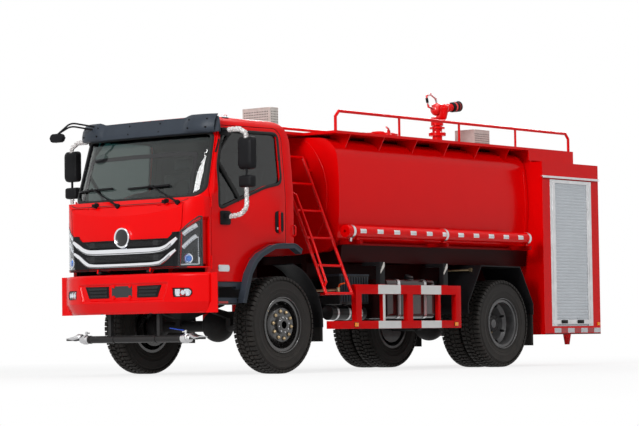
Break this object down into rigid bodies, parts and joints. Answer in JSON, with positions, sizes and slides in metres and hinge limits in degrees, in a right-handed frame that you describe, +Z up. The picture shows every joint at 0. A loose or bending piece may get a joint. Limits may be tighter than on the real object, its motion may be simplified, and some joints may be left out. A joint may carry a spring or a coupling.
{
  "type": "off-road fire truck",
  "caption": "Off-road fire truck with tilting cab, opening doors, steered wheels, rounded water tank, walkway with railings, ladder, roof water monitor and rear pump box with roller shutters.",
  "frame": {"origin": "on the ground, under the middle of the overall length and width", "axes": "+X forward, +Y the vehicle's left, +Z up; wheels spin about Y"},
  "size_m": [7.25, 2.734, 3.298],
  "materials": {
    "red_paint": "gloss",
    "black_steel": "satin",
    "frame_steel": "satin",
    "cast": "rough",
    "tyre": "matte",
    "rim_front": "satin",
    "rim_rear": "satin",
    "grey_plastic": "matte",
    "black_plastic": "matte",
    "rubber": "matte",
    "glass": "gloss",
    "lamp": "gloss",
    "chrome": "gloss",
    "silver": "satin",
    "fabric": "matte"
  },
  "bodies": {
    "chassis": {"chassis_frame": "frame_steel", "front_axle": "cast", "rear_axle": "cast", "leaf_springs": "frame_steel", "drivetrain": "cast", "engine_block": "cast", "fuel_tank": "black_steel", "air_and_battery": "black_steel", "side_guards": "red_paint", "fenders": "black_plastic", "mudflaps": "rubber", "front_bumper": "red_paint", "spray_bar": "black_steel", "water_tank": "red_paint", "tank_bearers": "red_paint", "hose_tubes": "red_paint", "walkway": "red_paint", "deck_boxes": "silver", "handrails": "red_paint", "ladder": "red_paint", "rear_box": "red_paint", "shutters": "silver", "rear_fittings": "silver", "monitor_base": "red_paint"},
    "cab": {"cab_shell": "red_paint", "cab_glass": "glass", "headlamps": "lamp", "sun_visor": "grey_plastic", "cab_steps": "grey_plastic", "seats": "fabric", "dashboard": "black_plastic", "kerb_mirror": "black_plastic"},
    "flap": {"front_flap": "red_paint", "grille_bars": "chrome"},
    "door_l": {"door_left": "red_paint", "door_glass_left": "glass", "mirror_left": "black_plastic"},
    "door_r": {"door_right": "red_paint", "door_glass_right": "glass", "mirror_right": "black_plastic"},
    "knuckle_l": {"front_knuckle_left": "cast"},
    "knuckle_r": {"front_knuckle_right": "cast"},
    "wheel_fl": {"front_tyre_left": "tyre", "front_rim_left": "rim_front"},
    "wheel_fr": {"front_tyre_right": "tyre", "front_rim_right": "rim_front"},
    "wheel_rl": {"rear_tyres_left": "tyre", "rear_rims_left": "rim_rear"},
    "wheel_rr": {"rear_tyres_right": "tyre", "rear_rims_right": "rim_rear"},
    "lid": {"manhole_lid": "red_paint"},
    "monitor_swivel_head": {"monitor_body": "red_paint"},
    "monitor_barrel": {"monitor_nozzle": "red_paint"}
  },
  "joints": [
    {"name": "steer_left", "type": "hinge", "parent": "chassis", "child": "knuckle_l", "pos_m": [2.325, 0.715, 0.509], "axis": [0, 0, 1], "range_deg": [-28, 28]},
    {"name": "steer_right", "type": "hinge", "parent": "chassis", "child": "knuckle_r", "pos_m": [2.325, -0.715, 0.509], "axis": [0, 0, 1], "range_deg": [-28, 28]},
    {"name": "spin_front_left", "type": "hinge", "parent": "knuckle_l", "child": "wheel_fl", "pos_m": [2.325, 0.9355, 0.509], "axis": [0, 1, 0], "continuous": true},
    {"name": "spin_front_right", "type": "hinge", "parent": "knuckle_r", "child": "wheel_fr", "pos_m": [2.325, -0.9355, 0.509], "axis": [0, 1, 0], "continuous": true},
    {"name": "spin_rear_left", "type": "hinge", "parent": "chassis", "child": "wheel_rl", "pos_m": [-1.59, 0.815, 0.509], "axis": [0, 1, 0], "continuous": true},
    {"name": "spin_rear_right", "type": "hinge", "parent": "chassis", "child": "wheel_rr", "pos_m": [-1.59, -0.815, 0.509], "axis": [0, 1, 0], "continuous": true},
    {"name": "cab_tilt", "type": "hinge", "parent": "chassis", "child": "cab", "pos_m": [3.587, 0, 1.072], "axis": [0, 1, 0], "range_deg": [0, 40]},
    {"name": "door_left_hinge", "type": "hinge", "parent": "cab", "child": "door_l", "pos_m": [3.314, 0.974, 1.465], "axis": [0, 0, -1], "range_deg": [0, 65]},
    {"name": "door_right_hinge", "type": "hinge", "parent": "cab", "child": "door_r", "pos_m": [3.314, -0.974, 1.465], "axis": [0, 0, 1], "range_deg": [0, 65]},
    {"name": "flap_hinge", "type": "hinge", "parent": "cab", "child": "flap", "pos_m": [3.544, 0, 1.753], "axis": [0, -1, 0], "range_deg": [0, 60]},
    {"name": "lid_hinge", "type": "hinge", "parent": "chassis", "child": "lid", "pos_m": [-0.335, 0, 2.722], "axis": [0, 1, 0], "range_deg": [0, 105]},
    {"name": "monitor_swivel", "type": "hinge", "parent": "chassis", "child": "monitor_swivel_head", "pos_m": [-1.815, 0, 2.91], "axis": [0, 0, 1], "range_deg": [-175, 175]},
    {"name": "monitor_elevation", "type": "hinge", "parent": "monitor_swivel_head", "child": "monitor_barrel", "pos_m": [-1.815, 0, 3.11], "axis": [0, 1, 0], "range_deg": [-20, 45]}
  ],
  "couplings": [
    {"joint": "steer_right", "follows": "steer_left", "ratio": 1}
  ]
}
